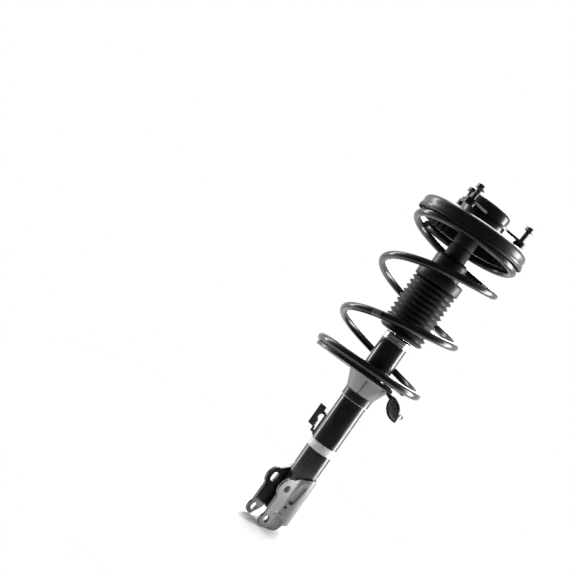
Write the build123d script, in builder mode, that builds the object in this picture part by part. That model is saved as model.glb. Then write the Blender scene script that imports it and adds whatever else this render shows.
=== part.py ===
from build123d import *

import os
from math import cos, pi, radians, sin, sqrt

# MacPherson strut: damper, coil spring and top mount.
# Millimetres. The damper axis is +Z. The origin is the centre of the three mounting studs, on the top face
# of the mount plate, so almost everything hangs below z = 0. The knuckle bracket opens towards -Y.

# ---- damper tube
TUBE_R = 22.5
TUBE_WALL = 2.5
TUBE_TOP = -242.5
TUBE_BOTTOM = -562.0
GLAND_TOP = -230.0
ROD_R = 10.0
ROD_END_R = 6.0
SLIDING_GAP = 0.05  # radial running clearance
PRESSURE_R = 15.0  # inside radius of the inner tube
PRESSURE_WALL = 1.5
GUIDE_TOP = -246.5
GUIDE_SEAT = -262.0
BASE_VALVE_TOP = -546.0
PISTON_TOP = -290.0
PISTON_BOTTOM = -312.0
GUIDE_NOSE = 6.0  # how far the rod guide reaches into the inner tube
REBOUND_STOP_R = 14.3
REBOUND_STOP_TOP = GUIDE_SEAT - GUIDE_NOSE - SLIDING_GAP * 10
LABEL_BOTTOM = -445.5
LABEL_TOP = -432.3

# ---- knuckle bracket
SHEET = 4.5
WRAP_R = TUBE_R + SHEET
EAR_GAP = 29.0
EAR_OUTER_X = EAR_GAP / 2 + SHEET
BOLT_Y = -36.0
UPPER_BOLT_Z = -516.0
LOWER_BOLT_Z = -572.0
BOLT_HOLE_R = 6.3
CAMBER_SLOT_TRAVEL = 4.0
UPPER_LOBE_R = 17.0
LOWER_LOBE_R = 13.0
BRACKET_TOP = -488.0
WRAP_BOTTOM = -571.0
SKIRT_BOTTOM = -586.0
EAR_WAIST_Y = -45.5
GUSSET_Z = -558.0
GUSSET_HEIGHT = 5.0
LOCATING_HOLE_R = 2.25
LOCATING_HOLE_Z = -543.0
LOCATING_HOLE_HEADING = radians(-38)
HOLLOW_R = 16.0  # round punch that presses a hollow along the joggle beside each lobe
UPPER_HOLLOW = ((35.5, -21.0, -529.0), (38.0, -15.5, -503.0))  # ends of the punch's centre line
LOWER_HOLLOW = ((35.0, -21.5, -592.0), (36.0, -19.0, -570.0))

# ---- spring and its lower seat
WIRE_R = 6.2
COIL_R = 84.0  # mean radius of the coil
COIL_START = -0.4  # turns, counted from the leftmost point of the bottom coil
COIL_END = 3.9
COIL_PITCH = 97.0
PITCH_RAMP_UP = (0.2, 0.67)  # turns over which the pitch grows
PITCH_RAMP_DOWN = (2.65, 3.23)  # turns over which it fades again
COIL_RISE = COIL_PITCH * (sum(PITCH_RAMP_DOWN) - sum(PITCH_RAMP_UP)) / 2
COIL_ZERO_ANGLE = 216.9  # degrees, where the turn count is 0
COIL_BOTTOM_Z = -297.0  # height of the wire's centre in the lower end coil
SEAT_OFFSET = (3.0, -25.0)  # the spring's foot is carried to one side of the damper
SEAT_TILT = 0.10  # rise of the lower seat per millimetre
TAIL_TILT = 0.03  # rise of the wire's tail per millimetre: it lies on a wedge in the pad
TOP_COIL_TILT = 0.08  # rise of the upper end coil per millimetre
SEAT_HEADING = radians(-53.1)  # the side of all three that is high
TAIL_EASE = 0.05  # turns each side of 0 over which the tail meets the seat's tilt
SEAT_R = 86.0
SEAT_SHEET = 2.5
SEAT_RIM = 3.5
SEAT_CUT = 50.0  # the seat is cut straight this far from its centre
SEAT_CUT_HEADING = radians(36.9)
PAD = 2.0
SPRING_GAP = 0.5  # between the wire and what it rests on
CONE_MOUTH_R = 36.5
COLLAR_R = 24.0
COLLAR_BOTTOM = -350.0
COLLAR_TOP = -337.0

# ---- upper seat and swivel bearing
UPPER_SEAT_R = 92.0
UPPER_SEAT_TOP = -22.0
UPPER_SEAT_BOTTOM = -42.0
UPPER_SEAT_EDGE = 10.0
UPPER_SEAT_HOLE_R = 24.0
BALL_R = 2.5
BALL_CIRCLE_R = 30.5
BALL_Z = -17.2
BALL_COUNT = 24

# ---- top mount
MOUNT_TILT = radians(5.0)
PLATE = 4.0
STUD_CIRCLE_R = 68.0
STUD_ANGLES = (-78, 42, 162)
EAR_TIP_R = 9.0
STUD_R = 4.0
STUD_NECK_R = 4.3  # the stud's press fit in the plate
STUD_HEAD = 6.0
STUD_HEAD_R = 9.0
STUD_LENGTH = 24.5
THREAD_ROOT_R = 3.4  # the nut is drawn on the thread's root, with no thread cut
NUT_HEIGHT = 7.5
NUT_APOTHEM = 6.5
NUT_FLANGE = 1.5
NUT_FLANGE_R = 8.0
NUT_FOOT = STUD_LENGTH - NUT_HEIGHT
DOME_R = 37.0
DOME_HEIGHT = 17.5
DOME_SHOULDER = 8.0
PRESSED_SHEET = 2.5  # the dome and the cup
CUP_R = 38.0
CUP_BOTTOM = -20.0
CUP_FLOOR = -10.0
CUP_HOLE_R = 13.0
PLATE_RIM = 6.0  # how far the plate stands out beyond the cup

# ---- bump stop and dust boot
BUMP_R = 18.0
BUMP_NOSE_R = 16.0
BUMP_TOP = -27.0
BUMP_WAIST = -62.0
BUMP_BOTTOM = -130.0
WASHER = 3.0  # above the bump stop
BOOT_BOTTOM = -229.0
BOOT_BAND_BOTTOM = -134.0
BOOT_BAND_TOP = -115.0
BOOT_TIP_R = 38.0
BOOT_ROOT_R = 33.0
BOOT_PLEATS = 11
BOOT_WALL = 1.6
CUFF_R = 27.0  # the boot's cuff grips the bump stop above the pleats
CUFF_TOP = -84.0

FAR = 80.0  # well outside any part, for cuts

MOUNT_PLANE = Plane(
    origin=(0, 0, 0),
    x_dir=(cos(MOUNT_TILT), 0, -sin(MOUNT_TILT)),
    z_dir=(sin(MOUNT_TILT), 0, cos(MOUNT_TILT)),
)
SEAT_TOP_Z = COIL_BOTTOM_Z - (WIRE_R + PAD + SPRING_GAP) * sqrt(1 + SEAT_TILT**2)
SEAT_PLANE = Plane(
    origin=(SEAT_OFFSET[0], SEAT_OFFSET[1], SEAT_TOP_Z),
    x_dir=(cos(SEAT_CUT_HEADING), sin(SEAT_CUT_HEADING), 0),
    z_dir=(-SEAT_TILT * cos(SEAT_HEADING), -SEAT_TILT * sin(SEAT_HEADING), 1),
)


def finish(part, name):
    """Label a finished piece and write it."""
    part.label = name
    export_step(part, f"parts/{name}.step")


def turned(points):
    """A solid turned about the damper axis from an outline of (radius, height) points."""
    with BuildPart() as turning:
        with BuildSketch(Plane.XZ):
            with BuildLine():
                Polyline(*points, close=True)
            make_face()
        revolve(axis=Axis.Z)
    return turning.part


def ring(inner, outer, bottom, top):
    """A plain ring about the damper axis."""
    return turned([(inner, bottom), (outer, bottom), (outer, top), (inner, top)])


def smooth_step_area(turns, start, end):
    """Area under a straight ramp from 0 to 1 between start and end."""
    if turns <= start:
        return 0.0
    if turns >= end:
        return turns - (start + end) / 2
    return (turns - start) ** 2 / (2 * (end - start))


def eased(value, start, end):
    """0 before start, 1 after end, and a smooth step between them."""
    part = min(1.0, max(0.0, (value - start) / (end - start)))
    return part**2 * (3 - 2 * part)


def coil_point(turns):
    """The wire's centre after this many turns: dead end coils, an even pitch between them."""
    climb = smooth_step_area(turns, *PITCH_RAMP_UP) - smooth_step_area(turns, *PITCH_RAMP_DOWN)
    height = COIL_BOTTOM_Z + COIL_PITCH * climb
    lean = 1 - (height - COIL_BOTTOM_Z) / COIL_RISE
    angle = radians(COIL_ZERO_ANGLE) + 2 * pi * turns
    tilt = TAIL_TILT + (SEAT_TILT - TAIL_TILT) * eased(turns, -TAIL_EASE, TAIL_EASE)
    tilt += (TOP_COIL_TILT - SEAT_TILT) * eased(turns, *PITCH_RAMP_DOWN)
    rise = COIL_R * tilt * cos(angle - SEAT_HEADING)
    x = SEAT_OFFSET[0] * lean + COIL_R * cos(angle)
    y = SEAT_OFFSET[1] * lean + COIL_R * sin(angle)
    return (x, y, height + rise)


os.makedirs("parts", exist_ok=True)

# ---------------------------------------------------------------- damper tube and what is inside it

finish(ring(TUBE_R - TUBE_WALL, TUBE_R, TUBE_BOTTOM, TUBE_TOP), "strut_tube")

# pressed base: a shallow dish welded under the tube, with a spigot inside it
finish(
    turned([
        (0, TUBE_BOTTOM - 4), (TUBE_R - 4, TUBE_BOTTOM - 4), (TUBE_R, TUBE_BOTTOM - 1),
        (TUBE_R, TUBE_BOTTOM), (TUBE_R - TUBE_WALL, TUBE_BOTTOM), (TUBE_R - TUBE_WALL, TUBE_BOTTOM + 5),
        (0, TUBE_BOTTOM + 5),
    ]),
    "tube_base",
)

# bright closing nut at the top of the tube
with BuildPart() as gland_nut:
    with BuildSketch(Plane.XY.offset(TUBE_TOP)):
        Circle(TUBE_R)
        Circle(ROD_R + 0.6, mode=Mode.SUBTRACT)
    extrude(amount=GLAND_TOP - TUBE_TOP)
    fillet(gland_nut.edges().group_by(Axis.Z)[-1].sort_by(SortBy.LENGTH)[-1], 2.0)
finish(gland_nut.part, "gland_nut")

finish(ring(ROD_R + SLIDING_GAP, TUBE_R - TUBE_WALL, GUIDE_TOP, TUBE_TOP), "rod_seal")

finish(
    turned([
        (ROD_R + SLIDING_GAP, GUIDE_SEAT - GUIDE_NOSE), (PRESSURE_R, GUIDE_SEAT - GUIDE_NOSE),
        (PRESSURE_R, GUIDE_SEAT), (TUBE_R - TUBE_WALL, GUIDE_SEAT),
        (TUBE_R - TUBE_WALL, GUIDE_TOP), (ROD_R + SLIDING_GAP, GUIDE_TOP),
    ]),
    "rod_guide",
)

BASE_VALVE_SEAT = BASE_VALVE_TOP - 6
finish(
    ring(PRESSURE_R, PRESSURE_R + PRESSURE_WALL, BASE_VALVE_SEAT, GUIDE_SEAT),
    "pressure_tube",
)
finish(
    turned([
        (0, TUBE_BOTTOM + 5), (PRESSURE_R + PRESSURE_WALL, TUBE_BOTTOM + 5),
        (PRESSURE_R + PRESSURE_WALL, BASE_VALVE_SEAT), (PRESSURE_R, BASE_VALVE_SEAT),
        (PRESSURE_R, BASE_VALVE_TOP), (0, BASE_VALVE_TOP),
    ]),
    "base_valve",
)

finish(ring(TUBE_R, TUBE_R + 0.3, LABEL_BOTTOM, LABEL_TOP), "label_band")

# ---------------------------------------------------------------- rod, piston and stops

finish(
    turned([
        (0, PISTON_BOTTOM - 10), (ROD_END_R, PISTON_BOTTOM - 10), (ROD_END_R, PISTON_TOP),
        (ROD_R, PISTON_TOP), (ROD_R, BUMP_TOP), (ROD_END_R, BUMP_TOP), (ROD_END_R, 12), (0, 12),
    ]),
    "piston_rod",
)

BAND_TOP = PISTON_TOP - 6
BAND_BOTTOM = PISTON_BOTTOM + 6
BAND_ROOT_R = 13.5
PISTON_R = PRESSURE_R - 0.1
finish(
    turned([
        (ROD_END_R, PISTON_BOTTOM), (PISTON_R, PISTON_BOTTOM), (PISTON_R, BAND_BOTTOM),
        (BAND_ROOT_R, BAND_BOTTOM), (BAND_ROOT_R, BAND_TOP), (PISTON_R, BAND_TOP),
        (PISTON_R, PISTON_TOP), (ROD_END_R, PISTON_TOP),
    ]),
    "piston",
)
finish(ring(BAND_ROOT_R, PRESSURE_R - SLIDING_GAP, BAND_BOTTOM, BAND_TOP), "piston_band")

PISTON_NUT_APOTHEM = 8.5
PISTON_NUT_HEIGHT = 8.0
with BuildPart() as piston_nut:
    with BuildSketch(Plane.XY.offset(PISTON_BOTTOM - PISTON_NUT_HEIGHT)):
        RegularPolygon(radius=PISTON_NUT_APOTHEM, side_count=6, major_radius=False)
        Circle(ROD_END_R, mode=Mode.SUBTRACT)
    extrude(amount=PISTON_NUT_HEIGHT)
finish(piston_nut.part, "piston_nut")

finish(ring(ROD_R, REBOUND_STOP_R, PISTON_TOP, REBOUND_STOP_TOP), "rebound_stop")

# foam bump stop: waisted, with a blunt nose that meets the gland nut
finish(
    turned([
        (ROD_R, BUMP_BOTTOM), (BUMP_NOSE_R - 3, BUMP_BOTTOM), (BUMP_NOSE_R, BUMP_BOTTOM + 6),
        (BUMP_NOSE_R, BOOT_BAND_TOP - 2), (BUMP_R, BOOT_BAND_TOP - 2), (BUMP_R, BUMP_WAIST - 4),
        (BUMP_R - 1.5, BUMP_WAIST), (BUMP_R, BUMP_WAIST + 4), (BUMP_R, BUMP_TOP), (ROD_R, BUMP_TOP),
    ]),
    "bump_stop",
)
finish(ring(ROD_END_R, BUMP_R, BUMP_TOP, BUMP_TOP + WASHER), "bump_washer")


def boot_outline(shift):
    """The boot's section from its open foot to its neck, moved inwards by shift."""
    points = []
    pitch = (BOOT_BAND_BOTTOM - BOOT_BOTTOM) / BOOT_PLEATS
    for pleat in range(BOOT_PLEATS):
        foot = BOOT_BOTTOM + pleat * pitch
        points.append((BOOT_ROOT_R - shift, foot))
        points.append((BOOT_TIP_R - shift, foot + pitch / 2))
    points.append((BOOT_ROOT_R - shift, BOOT_BAND_BOTTOM))
    points.append((BOOT_TIP_R - shift, BOOT_BAND_BOTTOM + 2))
    points.append((BOOT_TIP_R - shift, BOOT_BAND_TOP - shift))
    return points


finish(
    turned(
        boot_outline(0)
        + [
            (CUFF_R, BOOT_BAND_TOP), (CUFF_R, CUFF_TOP - 6), (CUFF_R - 5, CUFF_TOP),
            (BUMP_R + 0.3, CUFF_TOP), (BUMP_R + 0.3, BOOT_BAND_TOP - BOOT_WALL),
        ]
        + boot_outline(BOOT_WALL)[::-1]
    ),
    "dust_boot",
)

# ---------------------------------------------------------------- knuckle bracket

EAR_REACH = 60.0
JOGGLE_BAND = (-23, -15)  # where along Y the wrap turns into the ears
JOGGLE_OUTER_R = 9.0
JOGGLE_INNER_R = 4.0
EAR_TIP_EASE = 0.5
WAIST_FILLET = 8.0
EAR_BOTTOM = LOWER_BOLT_Z - LOWER_LOBE_R

with BuildPart() as knuckle_bracket:
    # plan: a sheet wrapped round the back of the tube and joggled in to two flat ears
    with BuildSketch(Plane.XY.offset(SKIRT_BOTTOM)) as wrap_plan:
        Circle(WRAP_R)
        with Locations((0, -EAR_REACH / 2)):
            Rectangle(2 * EAR_OUTER_X, EAR_REACH)
        fillet(wrap_plan.vertices().filter_by_position(Axis.Y, *JOGGLE_BAND), JOGGLE_OUTER_R)
    extrude(amount=BRACKET_TOP - SKIRT_BOTTOM)
    with BuildSketch(Plane.XY.offset(SKIRT_BOTTOM)) as gap_plan:
        Circle(TUBE_R)
        with Locations((0, -FAR / 2)):
            Rectangle(EAR_GAP, FAR)
        fillet(gap_plan.vertices().filter_by_position(Axis.Y, *JOGGLE_BAND), JOGGLE_INNER_R)
    extrude(amount=BRACKET_TOP - SKIRT_BOTTOM, mode=Mode.SUBTRACT)
    # side: two lobes round the bolt holes, a waist between them, and a shorter wrap
    with BuildSketch(Plane.YZ) as side_shape:
        with BuildLine():
            Polyline(
                (WRAP_R + 1, WRAP_BOTTOM),
                (WRAP_R + 1, BRACKET_TOP),
                (-8, BRACKET_TOP),
                (BOLT_Y + 2, UPPER_BOLT_Z + UPPER_LOBE_R - EAR_TIP_EASE),
                (EAR_WAIST_Y, UPPER_BOLT_Z),
                (EAR_WAIST_Y, LOWER_BOLT_Z),
                (BOLT_Y + 2, EAR_BOTTOM + EAR_TIP_EASE),
                (-15, SKIRT_BOTTOM),
                (-10, SKIRT_BOTTOM + 1.5),
                (-3, WRAP_BOTTOM),
                close=True,
            )
        make_face()
        with Locations((BOLT_Y, UPPER_BOLT_Z)):
            Circle(UPPER_LOBE_R)
        with Locations((BOLT_Y, LOWER_BOLT_Z)):
            Circle(LOWER_LOBE_R)
        waist = side_shape.vertices().filter_by_position(Axis.Y, EAR_WAIST_Y - 0.1, EAR_WAIST_Y + 0.1)
        fillet(waist, WAIST_FILLET)
    extrude(amount=FAR, both=True, mode=Mode.INTERSECT)
    # the skirt below the joggle is on the +X side only: the other ear's edge rises to the tube
    with BuildSketch(Plane.YZ):
        with BuildLine():
            Polyline(
                (BOLT_Y + 4, SKIRT_BOTTOM - 1), (BOLT_Y + 4, EAR_BOTTOM + 2), (-12, WRAP_BOTTOM + 7),
                (-3, WRAP_BOTTOM), (FAR, WRAP_BOTTOM), (FAR, SKIRT_BOTTOM - 1),
                close=True,
            )
        make_face()
    extrude(amount=-FAR, mode=Mode.SUBTRACT)
    # a pressed gusset across each joggle
    for side in (-1, 1):
        with BuildSketch(Plane.XY.offset(GUSSET_Z - GUSSET_HEIGHT / 2)):
            with BuildLine():
                Polyline(
                    (side * (EAR_OUTER_X - 0.5), -31),
                    (side * (WRAP_R - 1.8), -9),
                    (side * (EAR_OUTER_X - 0.5), -14),
                    close=True,
                )
            make_face()
        extrude(amount=GUSSET_HEIGHT)
    # a shallow pressed hollow beside each lobe, where the wrap turns into the ear
    for side in (-1, 1):
        for ends in (UPPER_HOLLOW, LOWER_HOLLOW):
            start, end = [Vector(side * x, y, z) for x, y, z in ends]
            with BuildSketch(Plane(origin=start, z_dir=end - start)):
                Circle(HOLLOW_R)
            extrude(amount=(end - start).length, mode=Mode.SUBTRACT)
            with Locations(start, end):
                Sphere(HOLLOW_R, mode=Mode.SUBTRACT)
    # bolt holes: round through both ears below, round and slotted above for setting the camber
    with BuildSketch(Plane.YZ):
        with Locations((BOLT_Y, LOWER_BOLT_Z)):
            Circle(BOLT_HOLE_R)
    extrude(amount=FAR, both=True, mode=Mode.SUBTRACT)
    with BuildSketch(Plane.YZ):
        with Locations((BOLT_Y, UPPER_BOLT_Z)):
            Circle(BOLT_HOLE_R)
    extrude(amount=FAR, mode=Mode.SUBTRACT)
    with BuildSketch(Plane.YZ):
        with Locations((BOLT_Y, UPPER_BOLT_Z)):
            SlotCenterToCenter(CAMBER_SLOT_TRAVEL, 2 * BOLT_HOLE_R, rotation=90)
    extrude(amount=-FAR, mode=Mode.SUBTRACT)
    # small locating hole in the wrap
    hole_axis = (cos(LOCATING_HOLE_HEADING), sin(LOCATING_HOLE_HEADING), 0)
    with BuildSketch(Plane(origin=(0, 0, LOCATING_HOLE_Z), z_dir=hole_axis)):
        Circle(LOCATING_HOLE_R)
    extrude(amount=FAR, mode=Mode.SUBTRACT)
finish(knuckle_bracket.part, "knuckle_bracket")

# ---------------------------------------------------------------- brake hose bracket

HOSE_PLATE = 2.5
HOSE_INNER_X = -36.0
HOSE_OUTER_X = -50.5
HOSE_BOTTOM = -424.5
HOSE_TOP = -387.5
HOSE_FOOT_TOP = -397.0
HOSE_FOOT_BOTTOM = -429.5
HOSE_NOTCH_Z = -405.5
HOSE_SADDLE_ABOVE = 2.5
HOSE_SADDLE_EDGE_X = -20.5
HOSE_FOOT_X = -30.5
HOSE_FOOT = (15.0, 5.0)  # length and height
HOSE_STEM = 4.0
HOSE_NOTCH = (11.0, 8.5)  # height and width
HOSE_CORNER_R = 1.5

with BuildPart() as hose_bracket:
    with BuildSketch(Plane.XZ.offset(-HOSE_PLATE / 2)) as hose_plate:
        with Locations(((HOSE_INNER_X + HOSE_OUTER_X) / 2, (HOSE_BOTTOM + HOSE_TOP) / 2)):
            Rectangle(HOSE_INNER_X - HOSE_OUTER_X, HOSE_TOP - HOSE_BOTTOM)
        # two feet reach the tube, one above the hose notch and one on a stem below the plate
        with Locations((HOSE_FOOT_X, HOSE_FOOT_TOP), (HOSE_FOOT_X, HOSE_FOOT_BOTTOM)):
            Rectangle(*HOSE_FOOT)
        with Locations((HOSE_INNER_X, (HOSE_BOTTOM + HOSE_FOOT_BOTTOM) / 2)):
            Rectangle(HOSE_STEM, HOSE_BOTTOM - HOSE_FOOT_BOTTOM + HOSE_STEM)
        with Locations((HOSE_INNER_X, HOSE_NOTCH_Z)):
            SlotOverall(*HOSE_NOTCH, rotation=90, mode=Mode.SUBTRACT)
        corners = hose_plate.vertices().filter_by_position(Axis.X, HOSE_OUTER_X - 0.1, HOSE_OUTER_X + 0.1)
        fillet(corners, HOSE_CORNER_R)
    extrude(amount=HOSE_PLATE)
    # saddle that follows the tube
    with BuildSketch(Plane.XY.offset(HOSE_FOOT_BOTTOM - HOSE_SADDLE_ABOVE)):
        Circle(TUBE_R + HOSE_PLATE)
        Circle(TUBE_R, mode=Mode.SUBTRACT)
        with Locations((FAR / 2 + HOSE_SADDLE_EDGE_X, 0)):
            Rectangle(FAR, FAR, mode=Mode.SUBTRACT)
    extrude(amount=HOSE_FOOT_TOP - HOSE_FOOT_BOTTOM + 2 * HOSE_SADDLE_ABOVE)
    with BuildSketch(Plane.XY.offset(HOSE_FOOT_BOTTOM - FAR / 2)):
        Circle(TUBE_R)
    extrude(amount=FAR, mode=Mode.SUBTRACT)
finish(hose_bracket.part, "hose_bracket")

# ---------------------------------------------------------------- lower spring seat

with BuildPart() as seat_collar:
    with BuildSketch(Plane.XY.offset(COLLAR_BOTTOM)):
        Circle(COLLAR_R)
        Circle(TUBE_R, mode=Mode.SUBTRACT)
    extrude(amount=COLLAR_TOP - COLLAR_BOTTOM)
finish(seat_collar.part, "seat_collar")

SEAT_UNDER = SEAT_PLANE.offset(-SEAT_SHEET)

# trumpet-shaped cone from the collar up to the tilted seat
with BuildPart() as seat_cone:
    with BuildSketch(Plane.XZ):
        with BuildLine():
            outer_curve = Spline(
                (COLLAR_R, COLLAR_TOP), (COLLAR_R + 4.5, COLLAR_TOP + 10), (CONE_MOUTH_R, COLLAR_TOP + 27),
                (CONE_MOUTH_R + 5, COLLAR_TOP + 35),
            )
            Line(outer_curve @ 1, (CONE_MOUTH_R + 2.5, COLLAR_TOP + 36))
            inner_curve = Spline(
                (CONE_MOUTH_R + 2.5, COLLAR_TOP + 36), (CONE_MOUTH_R - 3, COLLAR_TOP + 27.5),
                (COLLAR_R + 2, COLLAR_TOP + 11.5), (TUBE_R, COLLAR_TOP + 3),
            )
            Line(inner_curve @ 1, (TUBE_R, COLLAR_TOP))
            Line((TUBE_R, COLLAR_TOP), outer_curve @ 0)
        make_face()
    revolve(axis=Axis.Z)
    split(bisect_by=SEAT_UNDER, keep=Keep.BOTTOM)
finish(seat_cone.part, "seat_cone")


def seat_outline(radius, cut):
    """The seat's round outline with one side cut straight."""
    with BuildSketch(Plane.XY) as outline:
        Circle(radius)
        with Locations((cut + SEAT_R, 0)):
            Rectangle(2 * SEAT_R, 3 * SEAT_R, mode=Mode.SUBTRACT)
    return outline.sketch


with BuildPart() as lower_seat:
    with BuildSketch(SEAT_PLANE):
        add(seat_outline(SEAT_R, SEAT_CUT))
    extrude(amount=-SEAT_RIM)
    with BuildSketch(SEAT_UNDER):
        add(seat_outline(SEAT_R - SEAT_SHEET, SEAT_CUT + SEAT_SHEET))
    extrude(amount=-SEAT_RIM, mode=Mode.SUBTRACT)
    with BuildSketch(Plane.XY.offset(COLLAR_TOP)):
        Circle(TUBE_R)
    extrude(amount=2 * FAR, mode=Mode.SUBTRACT)
finish(lower_seat.part, "lower_seat")

TAIL_PLANE = Plane(
    origin=(SEAT_OFFSET[0], SEAT_OFFSET[1], COIL_BOTTOM_Z - (WIRE_R + SPRING_GAP) * sqrt(1 + TAIL_TILT**2)),
    z_dir=(-TAIL_TILT * cos(SEAT_HEADING), -TAIL_TILT * sin(SEAT_HEADING), 1),
)


def pad_outline():
    """The rubber pad's outline: the seat's, with a hole inside the wire."""
    with BuildSketch(Plane.XY) as outline:
        add(seat_outline(SEAT_R - 1, SEAT_CUT - 1))
        Circle(COIL_R - 2 * WIRE_R, mode=Mode.SUBTRACT)
    return outline.sketch


with BuildPart() as lower_pad:
    # the wedge under the wire's tail, then the even layer
    with BuildSketch(SEAT_PLANE):
        add(pad_outline())
    extrude(amount=4 * PAD)
    split(bisect_by=TAIL_PLANE, keep=Keep.BOTTOM)
    with BuildSketch(SEAT_PLANE):
        add(pad_outline())
    extrude(amount=PAD)
finish(lower_pad.part, "lower_pad")

# ---------------------------------------------------------------- clip tab under the seat

TAB_Y = 20.0
TAB_SHEET = 2.5
TAB_NUT_AT = (66.0, -329.0)
TAB_NUT_APOTHEM = 5.0
TAB_NUT_HEIGHT = 5.0
TAB_STUD_R = 3.0
TAB_THREAD_ROOT_R = 2.6
TAB_STUD_LENGTH = 14.0
TAB_NECK = TAB_NUT_HEIGHT + 2.0  # the root's length: the nut and an undercut above it

with BuildPart() as clip_tab:
    with BuildSketch(Plane.XZ.offset(-TAB_Y)):
        with BuildLine():
            # a stem beyond the seat's straight edge, then a leaf that hangs from it
            Polyline((39, -317), (29.5, -314), (29.5, -300), (46, -300), (46, -309))
            Spline((46, -309), (67, -322), (71.5, -340))
            Spline((71.5, -340), (46.4, -333), (39, -317))
        make_face()
    extrude(amount=TAB_SHEET)
    split(bisect_by=SEAT_UNDER, keep=Keep.BOTTOM)
    add(seat_cone.part, mode=Mode.SUBTRACT)
finish(clip_tab.part, "clip_tab")

with BuildPart() as tab_nut:
    with BuildSketch(Plane.XZ.offset(-TAB_Y)):
        with Locations(TAB_NUT_AT):
            RegularPolygon(radius=TAB_NUT_APOTHEM, side_count=6, major_radius=False)
            Circle(TAB_THREAD_ROOT_R, mode=Mode.SUBTRACT)
    extrude(amount=-TAB_NUT_HEIGHT)
finish(tab_nut.part, "tab_nut")

with BuildPart() as tab_stud:
    for start, radius, length in (
        (TAB_Y, TAB_THREAD_ROOT_R, TAB_NECK),
        (TAB_Y + TAB_NECK, TAB_STUD_R, TAB_STUD_LENGTH - TAB_NECK),
    ):
        with BuildSketch(Plane.XZ.offset(-start)):
            with Locations(TAB_NUT_AT):
                Circle(radius)
        extrude(amount=-length)
    chamfer(tab_stud.edges().group_by(Axis.Y)[-1], 0.6)
finish(tab_stud.part, "tab_stud")

# ---------------------------------------------------------------- coil spring

COIL_STEPS = 64
coil_path = Spline(
    *[coil_point(COIL_START + (COIL_END - COIL_START) * step / COIL_STEPS) for step in range(COIL_STEPS + 1)]
)
with BuildPart() as coil_spring:
    with BuildSketch(Plane(origin=coil_path @ 0, z_dir=coil_path % 0)):
        Circle(WIRE_R)
    sweep(path=coil_path, is_frenet=True)
finish(coil_spring.part, "coil_spring")

# ---------------------------------------------------------------- upper spring seat

TOP_COIL_PLANE = Plane(
    origin=(0, 0, COIL_BOTTOM_Z + COIL_RISE + (WIRE_R + SPRING_GAP) * sqrt(1 + TOP_COIL_TILT**2)),
    z_dir=(-TOP_COIL_TILT * cos(SEAT_HEADING), -TOP_COIL_TILT * sin(SEAT_HEADING), 1),
)

with BuildPart() as upper_seat:
    with BuildSketch(Plane.XY.offset(UPPER_SEAT_BOTTOM)):
        Circle(UPPER_SEAT_R)
    extrude(amount=UPPER_SEAT_TOP - UPPER_SEAT_BOTTOM)
    fillet(upper_seat.edges().group_by(Axis.Z)[-1], UPPER_SEAT_EDGE)
    offset(amount=-SEAT_SHEET, openings=upper_seat.faces().sort_by(Axis.Z)[0])
    with BuildSketch(Plane.XY.offset(UPPER_SEAT_TOP)):
        Circle(UPPER_SEAT_HOLE_R)
    extrude(amount=-UPPER_SEAT_EDGE, mode=Mode.SUBTRACT)
finish(upper_seat.part, "upper_seat")

ISOLATOR_TOP = UPPER_SEAT_TOP - SEAT_SHEET - 0.2
ISOLATOR_R = COIL_R + 2
with BuildPart() as upper_isolator:
    with BuildSketch(Plane.XY.offset(ISOLATOR_TOP)):
        Circle(ISOLATOR_R)
        Circle(COIL_R - 1.4 * WIRE_R, mode=Mode.SUBTRACT)
    extrude(amount=-FAR)
    split(bisect_by=TOP_COIL_PLANE, keep=Keep.TOP)
    fillet(
        upper_isolator.edges().group_by(Axis.Z)[-1].sort_by(SortBy.LENGTH)[-1],
        UPPER_SEAT_EDGE / 2,
    )
finish(upper_isolator.part, "upper_isolator")

# ---------------------------------------------------------------- swivel bearing

GROOVE_R = BALL_R + SLIDING_GAP
RACE_IN = BALL_CIRCLE_R - 4.5
RACE_OUT = BALL_CIRCLE_R + 4.5
RACE_GAP = 1.6


def race(bottom, top):
    """A flat ring with a ball groove in it."""
    with BuildPart() as blank:
        with BuildSketch(Plane.XY.offset(bottom)):
            Circle(RACE_OUT)
            Circle(RACE_IN, mode=Mode.SUBTRACT)
        extrude(amount=top - bottom)
        with BuildSketch(Plane.XZ):
            with Locations((BALL_CIRCLE_R, BALL_Z)):
                Circle(GROOVE_R)
        revolve(axis=Axis.Z, mode=Mode.SUBTRACT)
    return blank.part


finish(race(UPPER_SEAT_TOP, BALL_Z - RACE_GAP / 2), "lower_race")
finish(race(BALL_Z + RACE_GAP / 2, CUP_FLOOR - PRESSED_SHEET), "upper_race")

with BuildPart() as bearing_balls:
    with Locations((0, 0, BALL_Z)):
        with PolarLocations(BALL_CIRCLE_R, BALL_COUNT):
            Sphere(BALL_R)
finish(bearing_balls.part, "bearing_balls")

# ---------------------------------------------------------------- top mount

PLATE_UNDER = MOUNT_PLANE.offset(-PLATE)
RUBBER_R = 30.0
RUBBER_TOP = 8.0

# pressed cup under the plate: its floor carries the rubber, its skirt covers the bearing
with BuildPart() as bearing_cup:
    with BuildSketch(Plane.XY.offset(CUP_BOTTOM)):
        Circle(CUP_R)
        Circle(CUP_R - PRESSED_SHEET, mode=Mode.SUBTRACT)
    extrude(amount=-CUP_BOTTOM + 5)
    with BuildSketch(Plane.XY.offset(CUP_FLOOR - PRESSED_SHEET)):
        Circle(CUP_R - PRESSED_SHEET / 2)
        Circle(CUP_HOLE_R, mode=Mode.SUBTRACT)
    extrude(amount=PRESSED_SHEET)
    split(bisect_by=PLATE_UNDER, keep=Keep.BOTTOM)
finish(bearing_cup.part, "bearing_cup")

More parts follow.
